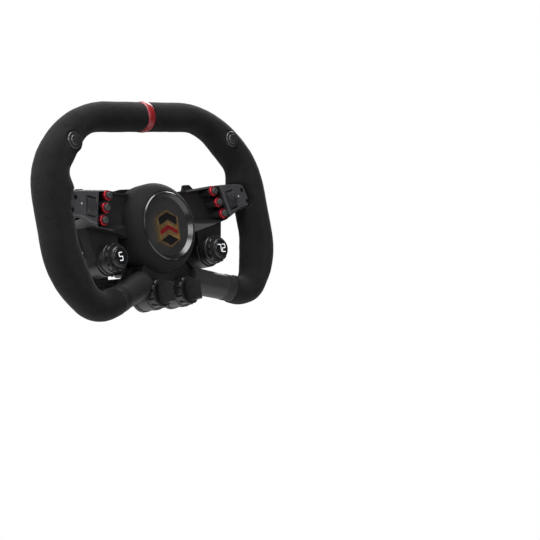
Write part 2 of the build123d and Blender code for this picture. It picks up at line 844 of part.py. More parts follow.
def selector_bases():
    """Both fixed rings."""
    return Compound([Pos(side * selector_x, 0, selector_z) * selector_base() for side in SIDES.values()])


def selector_knob():
    """Castellated skirt with a wing pointer and its shaft."""
    knob = rod(0, 0, selector_skirt_diameter / 2, skirt_back, wing_back)
    knob = chamfer(knob.faces().sort_by(Axis.Y)[0].outer_wire().edges(), 0.9)
    for k in range(12):
        a = radians(15 + 30 * k)
        r = selector_skirt_diameter / 2 + 0.5
        knob -= rod(r * cos(a), r * sin(a), 1.9, skirt_back - 1.8, wing_back - 1)
    knob -= rod(0, 0, selector_dish_diameter / 2, wing_back + selector_dish_depth, wing_back - 1)
    half_h = selector_wing_height / 2
    side_view = Plane.YZ * make_face(Polyline(
        (skirt_back - 3, -half_h), (selector_front + 1.0, -half_h + 0.6), (selector_front, -half_h + 1.6),
        (selector_front, half_h - 1.6), (selector_front + 1.0, half_h - 0.6), (skirt_back - 3, half_h),
        (skirt_back - 3, -half_h)).edges())
    wing = extrude(side_view, amount=selector_wing_width / 2, both=True)
    knob += wing
    return knob + rod(0, 0, 3.0, plate_front - 4.0, skirt_back - 1)


def selector_switches():
    """Rotary switch behind each selector."""
    body = rod(0, 0, 9.2, plate_front - 0.5, plate_front - 8.5)
    body -= rod(0, 0, 3.0 + running_gap, plate_front - 3.5, plate_front - 9.5)
    return Compound([Pos(side * selector_x, 0, selector_z) * body for side in SIDES.values()])


# ---------------------------------------------------------------- paddle module

def paddle_module():
    """Box behind the spoke plate with lugs for the paddle pins and magnet stops."""
    face = RectangleRounded(2 * module_half_width, 2 * module_half_height, 10)
    box = slab(face, module_back, plate_back)
    cavity = RectangleRounded(2 * (module_half_width - module_wall), 2 * (module_half_height - module_wall), 7)
    box -= slab(cavity, module_back - module_wall, plate_back - 1)
    box -= rod(0, 0, 12, module_back + 1, module_back - module_wall - 1)
    for side in SIDES.values():
        for low, high in lug_levels:
            lug = block(module_half_width - 1, pin_x + 4, pin_y - 4, pin_y + 4, low, high)
            lug -= Pos(pin_x, pin_y, (low + high) / 2) * Cylinder(pin_diameter / 2, high - low + 1)
            box += mirrored(lug, side)
        for z in stop_levels:
            box += mirrored(stop(z), side)
    for x, z in flange_bolt_places():
        box -= rod(x, z, flange_bolt_diameter / 2, module_back + 1, module_back - module_wall - 1)
    return box


def stop(z):
    """Bracket behind one paddle blade that carries its magnet."""
    seat = blade_back(z) + 0.5
    bracket = block(module_half_width - 1, pin_x + 12, module_back - 4, module_back, z - 5, z + 5)
    return bracket + block(pin_x + 5.5, pin_x + 12, seat, module_back, z - 5, z + 5)


def blade_back(z):
    """Rear face of the blade at this height: the shift blade lies in front of the clutch blade."""
    return pin_y - 1.5 if z > 0 else pin_y + 3.5


def magnets():
    """Magnets let into the stops."""
    discs = []
    for side in SIDES.values():
        for z in stop_levels:
            seat = blade_back(z) + 0.5
            discs.append(rod(side * (pin_x + 8.8), z, 2.5, seat + 2, seat))
    return Compound(discs)


def paddle_module_with_seats():
    """Paddle module with the magnets' pockets cut."""
    return paddle_module() - magnets()


def paddle_pins():
    """One long pin each side."""
    pin = Pos(pin_x, pin_y, 0) * Cylinder(pin_diameter / 2, 78)
    return both_sides([pin])


def barrel_sleeve(low, high):
    """Hinge barrel of a paddle."""
    return Pos(pin_x, pin_y, (low + high) / 2) * Cylinder(4.0, high - low)


def pin_bore(low, high):
    """Clearance hole for the pin."""
    return Pos(pin_x, pin_y, (low + high) / 2) * Cylinder(pin_diameter / 2 + running_gap, high - low + 2)


def shift_paddle():
    """Right shift paddle: a thin blade on a hinge barrel."""
    low, high = 2.3, 33.7
    back = blade_back(18)
    blade = slab(outline((pin_x - 1, 6, 0), (pin_x + 6, 5, 3), (pin_x + 14, -8, 6),
                         (paddle_reach - 4, -17, 8), (paddle_reach, 30, 6),
                         (paddle_reach - 14, shift_top, 3), (paddle_reach - 22, shift_top, 1),
                         (paddle_reach - 26, shift_top - 8, 4), (pin_x - 1, 31, 0)),
                 back, back - paddle_thickness)
    return barrel_sleeve(low, high) + blade - pin_bore(low, high)


def clutch_paddle():
    """Right clutch paddle below the shift paddle."""
    low, high = -33.7, -2.3
    back = blade_back(-20)
    heel = pin_x + 5.7
    tail_z = -module_half_height - 1.2
    blade = slab(outline((pin_x - 1, -31, 0), (heel, -33, 0), (heel, tail_z, 0), (clutch_tail_x, tail_z, 1),
                         (clutch_tail_x + 2, clutch_bottom + 8, 4), (paddle_reach - 18, clutch_bottom, 6),
                         (paddle_reach - 4, -19.2, 8), (pin_x + 14, -10.2, 4), (pin_x - 1, -6, 0)),
                 back, back - paddle_thickness)
    return barrel_sleeve(low, high) + blade - pin_bore(low, high)


# ---------------------------------------------------------------- quick release

def flange_bolt_places():
    """Six flange bolts on their circle."""
    r = flange_bolt_circle / 2
    return [(r * cos(radians(60 * k + 30)), r * sin(radians(60 * k + 30))) for k in range(6)]


def qr_body():
    """Quick-release socket: a flange and a barrel with a blind bore."""
    body = rod(0, 0, flange_radius, module_back, flange_back)
    body = chamfer(body.edges().filter_by(GeomType.CIRCLE).group_by(Axis.Y)[-1], 1.0)
    body += rod(0, 0, barrel_radius, flange_back, 0)
    body -= rod(0, 0, bore_radius, 0, -bore_depth)
    body -= rod(0, 0, puck_radius + 2, 0, puck_floor)
    for x, z in flange_bolt_places():
        body -= rod(x, z, flange_bolt_diameter / 2, module_back - 1, flange_back + 1)
    for x, y, z in ball_places():
        body -= Pos(x, y, z) * Sphere(ball_diameter / 2)
    return body


def ball_places():
    """Six locking balls in the barrel's wall, under the sleeve."""
    r = barrel_radius - ball_diameter / 2 - 0.1
    y = flange_back + 6 + sleeve_length / 2
    return [(r * cos(radians(60 * k)), y, r * sin(radians(60 * k))) for k in range(6)]


def qr_balls():
    """Locking balls."""
    return Compound([Pos(x, y, z) * Sphere(ball_diameter / 2) for x, y, z in ball_places()])


def qr_sleeve():
    """Sliding sleeve with finger grooves."""
    back = flange_back + 6 + sleeve_length
    front = flange_back + 6
    sleeve = tube(0, 0, sleeve_radius, barrel_radius + running_gap, back, front)
    sleeve = chamfer(sleeve.edges().filter_by(GeomType.CIRCLE).sort_by(SortBy.RADIUS)[-2:], 0.8)
    for k in range(18):
        a = radians(20 * k)
        r = sleeve_radius + 1.2
        sleeve -= rod(r * cos(a), r * sin(a), 2.0, back - 2, front + 2)
    return sleeve


def qr_spring():
    """Wave spring between the flange and the sleeve."""
    return tube(0, 0, sleeve_radius - 0.4, barrel_radius + 0.6, flange_back + 1.9, flange_back + 0.05)


def connector_puck():
    """Contact puck in the pocket under the bore."""
    puck_face = puck_floor + puck_thickness
    puck = rod(0, 0, puck_radius, puck_face, puck_floor)
    for k in range(6):
        a = radians(60 * k)
        puck += rod(6 * cos(a), 6 * sin(a), contact_radius, puck_face + contact_height, puck_face - 1)
    return puck


def flange_bolts():
    """Socket-head bolts through the flange."""
    bolts = []
    for x, z in flange_bolt_places():
        head = rod(x, z, 4.25, flange_back + 5, flange_back)
        head -= slab(Pos(x, z) * RegularPolygon(2.0, 6, major_radius=False), flange_back + 6, flange_back + 2.5)
        bolts.append(head + rod(x, z, flange_bolt_diameter / 2, flange_back, module_back - module_wall))
    return Compound(bolts)


def ear_bolts():
    """Spacer posts and screws between the rim frame's ears, the arm, the pod, the tube foot and the plate."""
    posts = []
    for side in SIDES.values():
        x, z = plate_holes()[0]
        post = rod(side * x, z, standoff_radius, plate_front, rim_y(z) + frame_thickness / 2 + 0.3)
        post += rod(side * x, z, 2.0, plate_back, rim_y(z) - frame_thickness / 2 - 0.3)
        post += rod(side * x, z, 3.4, plate_back + 2.2, plate_back)
        posts.append(post)
        for hole_x, hole_z in plate_holes()[1:]:
            screw = rod(side * hole_x, hole_z, 1.5, plate_back, plate_front - 5)
            posts.append(screw + rod(side * hole_x, hole_z, 2.8, plate_back + 2.0, plate_back))
    return Compound(posts)


PARTS = {
    "rim_frame": rim_frame,
    "rim_grip": rim_grip,
    "centre_mark": centre_mark,
    "hub_dome": hub_dome,
    "hub_core": hub_core,
    "main_board": main_board,
    "badge_ring": badge_ring,
    "badge_plate": badge_plate,
    "badge_emblem": badge_emblem,
    "spoke_plate": spoke_plate,
    "panel_screws": panel_screws,
    "button_barrels": button_barrels,
    "button_rings": button_rings,
    "button_switches": button_switches,
    "grip_collars": grip_collars,
    "dial_base_rings": dial_base_rings,
    "roller_axles": roller_axles,
    "thumb_bezels": thumb_bezels,
    "display_lenses": display_lenses,
    "dial_encoders": dial_encoders,
    "selector_housing": selector_housing,
    "selector_bases": selector_bases,
    "selector_switches": selector_switches,
    "paddle_module": paddle_module_with_seats,
    "paddle_magnets": magnets,
    "paddle_pins": paddle_pins,
    "qr_body": qr_body,
    "qr_balls": qr_balls,
    "qr_sleeve": qr_sleeve,
    "qr_spring": qr_spring,
    "connector_puck": connector_puck,
    "flange_bolts": flange_bolts,
    "spoke_screws": ear_bolts,
}

HANDED_PARTS = {
    "lower_tube": lower_tube,
    "arm_housing": arm_housing,
    "face_panel": face_panel,
    "thumb_roller": roller,
    "thumb_button": thumb_button,
    "display_pod": display_pod,
    "dial": dial,
    "shift_paddle": shift_paddle,
    "clutch_paddle": clutch_paddle,
}


def main():
    os.makedirs("parts", exist_ok=True)
    for name, make in PARTS.items():
        export_step(make(), f"parts/{name}.step")
    for name, make in HANDED_PARTS.items():
        shape = make()
        for word, side in SIDES.items():
            export_step(mirrored(shape, side), f"parts/{name}_{word}.step")
    for word, side in SIDES.items():
        export_step(Pos(side * selector_x, 0, selector_z) * selector_knob(), f"parts/selector_{word}.step")
        for k, (x, z) in enumerate(button_places(), start=1):
            export_step(face_button(x, z, side), f"parts/face_button_{word}_{k}.step")


main()
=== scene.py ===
import math
import bmesh
import bpy
from mathutils import Matrix, Vector, kdtree, noise
from mathutils.bvhtree import BVHTree


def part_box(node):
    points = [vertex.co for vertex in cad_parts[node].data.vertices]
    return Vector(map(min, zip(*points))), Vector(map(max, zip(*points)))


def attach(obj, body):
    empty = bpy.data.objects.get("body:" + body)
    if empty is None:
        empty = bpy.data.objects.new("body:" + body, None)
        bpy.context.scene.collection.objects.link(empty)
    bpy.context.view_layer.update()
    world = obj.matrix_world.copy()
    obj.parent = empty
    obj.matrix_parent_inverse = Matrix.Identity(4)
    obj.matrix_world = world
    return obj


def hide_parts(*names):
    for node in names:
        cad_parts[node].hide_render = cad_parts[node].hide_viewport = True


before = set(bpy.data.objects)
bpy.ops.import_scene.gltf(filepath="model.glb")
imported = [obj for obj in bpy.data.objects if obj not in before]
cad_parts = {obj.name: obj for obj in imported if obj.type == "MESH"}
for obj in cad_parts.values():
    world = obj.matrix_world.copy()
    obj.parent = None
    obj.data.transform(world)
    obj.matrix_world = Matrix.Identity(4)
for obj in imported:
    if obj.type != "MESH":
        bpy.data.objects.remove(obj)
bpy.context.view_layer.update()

# ---------------------------------------------------------------- rim frame
# A flat bar of aluminium plate, water-cut to the rim's shape and left as cut.
# It is buried in the foam of the grip; only its two ears reach out to the spokes.


def finish(name, dark, light, rough, patch, grain, relief, stretch=(1, 1, 1), **sockets):
    """Surface whose colour and roughness drift over patches, with a fine grain; lengths are in metres."""
    material = bpy.data.materials.new(name)
    material.use_nodes = True
    nodes = material.node_tree.nodes
    links = material.node_tree.links
    shader = nodes["Principled BSDF"]
    for socket, value in sockets.items():
        shader.inputs[socket.replace("_", " ")].default_value = value
    place = nodes.new("ShaderNodeTexCoord")
    turn = nodes.new("ShaderNodeMapping")
    turn.inputs["Scale"].default_value = stretch
    links.new(place.outputs["Object"], turn.inputs["Vector"])
    patches = nodes.new("ShaderNodeTexNoise")
    patches.inputs["Scale"].default_value = 1 / patch
    patches.inputs["Detail"].default_value = 5
    fine = nodes.new("ShaderNodeTexNoise")
    fine.inputs["Scale"].default_value = 1 / grain
    fine.inputs["Detail"].default_value = 3
    for texture in (patches, fine):
        links.new(turn.outputs["Vector"], texture.inputs["Vector"])
    shade = nodes.new("ShaderNodeMix")
    shade.data_type = "RGBA"
    shade.inputs["A"].default_value = (*dark, 1)
    shade.inputs["B"].default_value = (*light, 1)
    spread = nodes.new("ShaderNodeMapRange")
    spread.inputs["From Min"].default_value = 0.3
    spread.inputs["From Max"].default_value = 0.7
    links.new(patches.outputs["Fac"], spread.inputs["Value"])
    links.new(spread.outputs["Result"], shade.inputs["Factor"])
    links.new(shade.outputs["Result"], shader.inputs["Base Color"])
    polish = nodes.new("ShaderNodeMapRange")
    polish.inputs["From Min"].default_value = 0.3
    polish.inputs["From Max"].default_value = 0.7
    polish.inputs["To Min"].default_value = rough[0]
    polish.inputs["To Max"].default_value = rough[1]
    blend = nodes.new("ShaderNodeMath")
    blend.operation = "MULTIPLY_ADD"
    blend.inputs[1].default_value = 0.5
    links.new(fine.outputs["Fac"], blend.inputs[0])
    half = nodes.new("ShaderNodeMath")
    half.operation = "MULTIPLY"
    half.inputs[1].default_value = 0.5
    links.new(patches.outputs["Fac"], half.inputs[0])
    links.new(half.outputs["Value"], blend.inputs[2])
    links.new(blend.outputs["Value"], polish.inputs["Value"])
    links.new(polish.outputs["Result"], shader.inputs["Roughness"])
    bump = nodes.new("ShaderNodeBump")
    bump.inputs["Distance"].default_value = relief
    links.new(fine.outputs["Fac"], bump.inputs["Height"])
    links.new(bump.outputs["Normal"], shader.inputs["Normal"])
    return material


def dress(material, *names):
    """Gives CAD nodes their finish."""
    for name in names:
        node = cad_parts[name]
        if not node.material_slots:
            node.data.materials.append(material)
        for slot in node.material_slots:
            slot.material = material


cut_plate = finish("cut_aluminium_plate", dark=(0.42, 0.43, 0.45), light=(0.56, 0.57, 0.58),
                   rough=(0.32, 0.5), patch=0.02, grain=0.0006, relief=0.00004,
                   stretch=(0.15, 1, 1), Metallic=1.0)
dress(cut_plate, "rim_frame")

# ---------------------------------------------------------------- grip
# Firm foam moulded on the frame and wrapped in one hide of black suede with a short nap.
# The hide is closed by a cross seam that runs along the inner rear edge, out of the driver's sight.
hide_cell = 0.00125
seam_depth = 0.0122
seam_dip = 0.0007
seam_reach = 0.0022
stitch_pitch = 0.0036
stitch_size = (0.0019, 0.00034, 0.0003)
rim_middle = -0.0676
rim_lean = math.radians(2.3)
seam_steps = 1440
seam_end_gap = 0.02
stitch_slant = 0.45
stitch_sink = 0.00035


def new_piece(name, mesh_or_bm, material, body, smooth=None):
    """Makes an object from a mesh or a bmesh, with its finish, riding on a body."""
    if isinstance(mesh_or_bm, bmesh.types.BMesh):
        mesh = bpy.data.meshes.new(name)
        mesh_or_bm.to_mesh(mesh)
        mesh_or_bm.free()
    else:
        mesh = mesh_or_bm
        mesh.name = name
    piece = bpy.data.objects.new(name, mesh)
    bpy.context.scene.collection.objects.link(piece)
    mesh.materials.clear()
    mesh.materials.append(material)
    mesh.shade_smooth()
    if smooth is not None:
        mesh.set_sharp_from_angle(angle=math.radians(smooth))
    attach(piece, body)
    return piece


def merged_copy(node):
    """A CAD node's mesh as one joined bmesh."""
    bm = bmesh.new()
    bm.from_mesh(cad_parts[node].data)
    bmesh.ops.remove_doubles(bm, verts=bm.verts, dist=2e-6)
    return bm


def shaped(bm, *steps):
    """Runs modifiers over a bmesh and gives the resulting mesh; each step is (type, settings)."""
    mesh = bpy.data.meshes.new("work")
    bm.to_mesh(mesh)
    bm.free()
    work = bpy.data.objects.new("work", mesh)
    bpy.context.scene.collection.objects.link(work)
    for kind, settings in steps:
        modifier = work.modifiers.new(kind, kind)
        for key, value in settings.items():
            setattr(modifier, key, value)
    bpy.context.view_layer.update()
    result = bpy.data.meshes.new_from_object(work.evaluated_get(bpy.context.evaluated_depsgraph_get()))
    bpy.data.objects.remove(work)
    return result


suede = bpy.data.materials.new("black_suede")
suede.use_nodes = True
nap = suede.node_tree.nodes
tie = suede.node_tree.links
hide = nap["Principled BSDF"]
hide.inputs["Roughness"].default_value = 0.95
hide.inputs["Specular IOR Level"].default_value = 0.12
hide.inputs["Sheen Weight"].default_value = 0.13
hide.inputs["Sheen Roughness"].default_value = 0.42
hide.inputs["Sheen Tint"].default_value = (0.8, 0.8, 0.82, 1)
hide_place = nap.new("ShaderNodeTexCoord")
brushed = nap.new("ShaderNodeTexNoise")
brushed.inputs["Scale"].default_value = 55
brushed.inputs["Detail"].default_value = 6
brushed.inputs["Roughness"].default_value = 0.62
brushed.inputs["Distortion"].default_value = 0.8
fibre = nap.new("ShaderNodeTexNoise")
fibre.inputs["Scale"].default_value = 1900
fibre.inputs["Detail"].default_value = 4
pile = nap.new("ShaderNodeTexVoronoi")
pile.inputs["Scale"].default_value = 1100
for texture in (brushed, fibre, pile):
    tie.new(hide_place.outputs["Object"], texture.inputs["Vector"])
stroke = nap.new("ShaderNodeMapRange")
stroke.inputs["From Min"].default_value = 0.35
stroke.inputs["From Max"].default_value = 0.66
tie.new(brushed.outputs["Fac"], stroke.inputs["Value"])
hide_shade = nap.new("ShaderNodeMix")
hide_shade.data_type = "RGBA"
hide_shade.inputs["A"].default_value = (0.0050, 0.0050, 0.0052, 1)
hide_shade.inputs["B"].default_value = (0.0085, 0.0085, 0.0087, 1)
tie.new(stroke.outputs["Result"], hide_shade.inputs["Factor"])
speck = nap.new("ShaderNodeMix")
speck.data_type = "RGBA"
speck.inputs["B"].default_value = (0.019, 0.019, 0.0195, 1)
tie.new(hide_shade.outputs["Result"], speck.inputs["A"])
speck_mask = nap.new("ShaderNodeMapRange")
speck_mask.inputs["From Min"].default_value = 0.52
speck_mask.inputs["From Max"].default_value = 0.8
speck_mask.inputs["To Max"].default_value = 0.55
tie.new(fibre.outputs["Fac"], speck_mask.inputs["Value"])
tie.new(speck_mask.outputs["Result"], speck.inputs["Factor"])
tie.new(speck.outputs["Result"], hide.inputs["Base Color"])
pile_bump = nap.new("ShaderNodeBump")
pile_bump.inputs["Distance"].default_value = 0.00022
pile_bump.inputs["Strength"].default_value = 0.8
tie.new(pile.outputs["Distance"], pile_bump.inputs["Height"])
fibre_bump = nap.new("ShaderNodeBump")
fibre_bump.inputs["Distance"].default_value = 0.00025
tie.new(fibre.outputs["Fac"], fibre_bump.inputs["Height"])
tie.new(pile_bump.outputs["Normal"], fibre_bump.inputs["Normal"])
tie.new(fibre_bump.outputs["Normal"], hide.inputs["Normal"])

hide_mesh = shaped(merged_copy("rim_grip"), ("REMESH", {"mode": "VOXEL", "voxel_size": hide_cell}),
                   ("SMOOTH", {"factor": 0.5, "iterations": 3}))
grip = new_piece("suede_grip", hide_mesh, suede, "wheel")
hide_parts("rim_grip")

arm_low, arm_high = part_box("arm_housing_right")
hide_surface = BVHTree.FromPolygons([v.co for v in hide_mesh.vertices],
                                    [f.vertices for f in hide_mesh.polygons])
seam_line = []
for step in range(seam_steps):
    angle = math.tau * step / seam_steps
    reach = Vector((math.cos(angle), math.tan(rim_lean) * math.sin(angle), math.sin(angle)))
    centre_of_seam = Vector((0, rim_middle + seam_depth, 0))
    spot, normal, _, _ = hide_surface.ray_cast(centre_of_seam, reach.normalized())
    beside_arm = (spot and abs(spot.x) > arm_high.x - seam_end_gap
                  and arm_low.z - 0.002 < spot.z < arm_high.z + 0.003)
    seam_line.append((spot, normal) if spot and not beside_arm else None)
seam_tree = kdtree.KDTree(len(seam_line))
for number, entry in enumerate(seam_line):
    if entry:
        seam_tree.insert(entry[0], number)
seam_tree.balance()
outward = [vertex.normal.copy() for vertex in hide_mesh.vertices]
for vertex, normal in zip(hide_mesh.vertices, outward):
    _, _, gap = seam_tree.find(vertex.co)
    dip = seam_dip * math.exp(-(gap / seam_reach) ** 2)
    uneven = 0.00022 * noise.noise(vertex.co * 70) + 0.0001 * noise.noise(vertex.co * 210)
    vertex.co += normal * (uneven - dip)
hide_mesh.update()

thread = finish("black_thread", dark=(0.03, 0.03, 0.032), light=(0.07, 0.07, 0.075),
                rough=(0.6, 0.8), patch=0.004, grain=0.0003, relief=0.00008)
seam = bmesh.new()
travelled = stitch_pitch
last = None
lean_to = 1
for entry in seam_line:
    if entry is None:
        last = None
        continue
    spot, normal = entry
    if last is not None:
        travelled += (spot - last).length
        if travelled >= stitch_pitch:
            travelled = 0.0
            along = (spot - last).normalized()
            across = normal.cross(along).normalized()
            slant = (across + along * stitch_slant * lean_to).normalized()
            side = normal.cross(slant).normalized()
            turn = Matrix((slant, side, normal)).transposed().to_4x4()
            place = Matrix.Translation(spot - normal * stitch_sink) @ turn
            place = place @ Matrix.Diagonal((*stitch_size, 1))
            bmesh.ops.create_uvsphere(seam, u_segments=8, v_segments=6, radius=1, matrix=place)
            lean_to = -lean_to
    last = spot
new_piece("grip_seam", seam, thread, "wheel")

# ---------------------------------------------------------------- centre mark
# A strip of bright red leather let into the suede at the top of the rim, glued and pulled tight.
# Its two edges are rolled in, so it stands a hair above the hide in the middle.
mark_low, mark_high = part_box("centre_mark")
mark_wide = mark_high.x - mark_low.x
mark_deep = 0.0282
mark_tall = 0.0277
mark_round = 0.013
mark_thick = 0.0013
mark_crown = 0.0004
mark_edge_drop = 0.0009

red_leather = finish("red_leather", dark=(0.19, 0.003, 0.008), light=(0.27, 0.006, 0.012),
                     rough=(0.34, 0.44), patch=0.008, grain=0.0007, relief=0.00006,
                     Coat_Weight=0.25, Coat_Roughness=0.35)
strip = bmesh.new()
bmesh.ops.create_cube(strip, size=1, matrix=Matrix.Diagonal((mark_wide, mark_deep, mark_tall, 1)))
long_edges = [e for e in strip.edges if abs(e.verts[0].co.x - e.verts[1].co.x) > mark_wide / 2]
bmesh.ops.bevel(strip, geom=long_edges, offset=mark_round, segments=12, profile=0.5,
                affect="EDGES", material=-1)
ends = [f for f in strip.faces if abs(f.normal.x) > 0.9]
bmesh.ops.delete(strip, geom=ends, context="FACES_ONLY")
across = [e for e in strip.edges if abs(e.verts[0].co.x - e.verts[1].co.x) > mark_wide / 2]
bmesh.ops.subdivide_edges(strip, edges=across, cuts=5, use_grid_fill=False)
bmesh.ops.recalc_face_normals(strip, faces=strip.faces)
strip.normal_update()
for vertex in strip.verts:
    share = abs(vertex.co.x) / (mark_wide / 2)
    vertex.co += vertex.normal * (mark_crown - mark_edge_drop * share ** 4)
centre = Matrix.Translation((mark_low + mark_high) / 2) @ Matrix.Rotation(-rim_lean, 4, "X")
bmesh.ops.transform(strip, matrix=centre, verts=strip.verts)
mark = new_piece("centre_mark_strip", strip, red_leather, "wheel")
wall = mark.modifiers.new("thickness", "SOLIDIFY")
wall.thickness = mark_thick
wall.offset = -1
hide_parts("centre_mark")

# ---------------------------------------------------------------- spoke plate
# A 4 mm plate of black anodised aluminium behind the hub; everything in the middle is screwed to it.
# Brushed before anodising, so it has a faint grain from side to side.
black_anodised = finish("black_anodised_plate", dark=(0.010, 0.010, 0.011),
                        light=(0.016, 0.016, 0.017), rough=(0.34, 0.46), patch=0.03, grain=0.0005,
                        relief=0.00003, stretch=(0.08, 1, 1), Metallic=0.35)
steel = finish("zinc_steel", dark=(0.5, 0.5, 0.5), light=(0.62, 0.62, 0.63), rough=(0.22, 0.36),
               patch=0.004, grain=0.0003, relief=0.00003, Metallic=1.0)
black_steel = finish("black_oxide_steel", dark=(0.012, 0.012, 0.013), light=(0.03, 0.03, 0.031),
                     rough=(0.3, 0.48), patch=0.003, grain=0.0003, relief=0.00004, Metallic=0.7)
dress(black_anodised, "spoke_plate")
dress(black_steel, "spoke_screws", "panel_screws", "flange_bolts")

# ---------------------------------------------------------------- hub core and main board
# A moulded cup under the dome; the round green board is screwed to its four posts.
glass_nylon = finish("glass_filled_nylon", dark=(0.012, 0.012, 0.013), light=(0.02, 0.02, 0.021),
                     rough=(0.5, 0.64), patch=0.012, grain=0.0005, relief=0.00005)
solder_mask = finish("green_solder_mask", dark=(0.004, 0.05, 0.02), light=(0.008, 0.08, 0.035),
                     rough=(0.25, 0.4), patch=0.003, grain=0.0008, relief=0.00005)
dress(glass_nylon, "hub_core")
dress(solder_mask, "main_board")

# ---------------------------------------------------------------- hub dome
# One moulded cover with a matt soft-touch coat, clipped over the core.
# The mould is spark-eroded, which leaves an even, very fine grain.
soft_coat = finish("soft_touch_coat", dark=(0.0055, 0.0055, 0.0057), light=(0.0075, 0.0075, 0.0077),
                   rough=(0.72, 0.82), patch=0.02, grain=0.0007, relief=0.00008,
                   Specular_IOR_Level=0.2, Sheen_Weight=0.06, Sheen_Roughness=0.5)
dress(soft_coat, "hub_dome")

# ---------------------------------------------------------------- badge
# A turned ring with a flared gloss-black bore, a dished satin plate and a raised gilt emblem
# with two chevrons over sunk enamel fields.
gloss_black = finish("gloss_black_ring", dark=(0.004, 0.004, 0.0045), light=(0.006, 0.006, 0.0065),
                     rough=(0.26, 0.34), patch=0.02, grain=0.002, relief=0.000002, Coat_Weight=0.5,
                     Coat_Roughness=0.2)
satin_plate = finish("satin_badge_plate", dark=(0.075, 0.075, 0.079), light=(0.09, 0.09, 0.094),
                     rough=(0.36, 0.44), patch=0.02, grain=0.0004, relief=0.00001, Metallic=0.8)
gilt = finish("gilt_emblem", dark=(0.42, 0.27, 0.12), light=(0.6, 0.42, 0.22), rough=(0.3, 0.42),
              patch=0.0035, grain=0.0007, relief=0.00002, Metallic=1.0)
dress(gloss_black, "badge_ring")
dress(satin_plate, "badge_plate")
dress(gilt, "badge_emblem")

emblem_low, emblem_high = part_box("badge_emblem")
field_edge = 0.0019
field_floor = 0.0010
enamel_depth = 0.0005
chevron_slope = 0.46
shoulder_share = 0.3
enamel_black = finish("black_enamel", dark=(0.004, 0.004, 0.005), light=(0.007, 0.007, 0.008),
                      rough=(0.12, 0.2), patch=0.004, grain=0.0006, relief=0.000004)
enamel_red = finish("red_enamel", dark=(0.11, 0.003, 0.006), light=(0.17, 0.006, 0.010),
                    rough=(0.12, 0.2), patch=0.004, grain=0.0006, relief=0.000004)


def enamel(name, material, above, below):
    """Enamel in the emblem's field between two heights on its centre line, along the chevrons."""
    middle = (emblem_low + emblem_high) / 2
    tall = emblem_high.z - emblem_low.z
    half_wide = (emblem_high.x - emblem_low.x) / 2 - field_edge
    fill = bmesh.new()
    made = bmesh.ops.create_circle(fill, cap_ends=True, radius=1, segments=6)
    shoulder = tall * shoulder_share
    for corner in made["verts"]:
        side = 0 if abs(corner.co.x) < 0.1 else math.copysign(1, corner.co.x)
        high = math.copysign(1, corner.co.y)
        corner.co = (side * half_wide, 0, high * (shoulder if side else tall / 2 - field_edge))
    for limit in (above, below):
        for slope in (-1, 1):
            bmesh.ops.bisect_plane(fill, geom=fill.verts[:] + fill.edges[:] + fill.faces[:],
                                   plane_co=(0, 0, limit), plane_no=(chevron_slope * slope, 0, 1))
    for face in list(fill.faces):
        spot = face.calc_center_median()
        if not above < spot.z + chevron_slope * abs(spot.x) < below:
            bmesh.ops.delete(fill, geom=[face], context="FACES")
    grown = bmesh.ops.extrude_face_region(fill, geom=fill.faces[:])
    moved = [part for part in grown["geom"] if isinstance(part, bmesh.types.BMVert)]
    bmesh.ops.translate(fill, vec=(0, -enamel_depth, 0), verts=moved)
    bmesh.ops.translate(fill, vec=(middle.x, emblem_low.y + field_floor, middle.z), verts=fill.verts)
    bmesh.ops.recalc_face_normals(fill, faces=fill.faces)
    new_piece(name, fill, material, "wheel", smooth=20)


enamel("badge_enamel_top", enamel_black, 0.0085, 0.03)
enamel("badge_enamel_middle", enamel_red, -0.0005, 0.0035)
enamel("badge_enamel_low", enamel_black, -0.03, -0.0055)

# ---------------------------------------------------------------- upper arms
# Two moulded housings in satin black; their inner halves are sunk for the button wells.
satin_black = finish("satin_black_moulding", dark=(0.013, 0.013, 0.0135),
                     light=(0.018, 0.018, 0.0185), rough=(0.3, 0.4), patch=0.02, grain=0.0006,
                     relief=0.00002)
dress(satin_black, "arm_housing_left", "arm_housing_right")

# ---------------------------------------------------------------- face buttons
# Three small grey caps each side, each in a black barrel with a ring of red anodised aluminium.
barrel_black = finish("barrel_black", dark=(0.008, 0.008, 0.0085), light=(0.014, 0.014, 0.0145),
                      rough=(0.3, 0.42), patch=0.004, grain=0.0004, relief=0.00003)
red_anodised = finish("red_anodised_ring", dark=(0.36, 0.012, 0.024), light=(0.5, 0.03, 0.045),
                      rough=(0.24, 0.34), patch=0.003, grain=0.0003, relief=0.000006, Metallic=0.75)
cap_grey = finish("cap_grey", dark=(0.028, 0.033, 0.032), light=(0.045, 0.052, 0.050),
                  rough=(0.3, 0.42), patch=0.003, grain=0.0004, relief=0.00004)
switch_black = finish("switch_black", dark=(0.015, 0.015, 0.016), light=(0.03, 0.03, 0.031),
                      rough=(0.35, 0.5), patch=0.003, grain=0.0004, relief=0.00004)
dress(barrel_black, "button_barrels")
dress(red_anodised, "button_rings")
dress(switch_black, "button_switches", "selector_switches", "dial_encoders")
for side in ("left", "right"):
    dress(cap_grey, *[f"face_button_{side}_{k}" for k in (1, 2, 3)])

# ---------------------------------------------------------------- face panels
# Graphite plates with polished chamfers, screwed over the outer half of each arm.
graphite = finish("graphite_panel", dark=(0.060, 0.060, 0.066), light=(0.076, 0.076, 0.083),
                  rough=(0.3, 0.4), patch=0.015, grain=0.0005, relief=0.00002, Metallic=0.3)
dress(graphite, "face_panel_left", "face_panel_right")

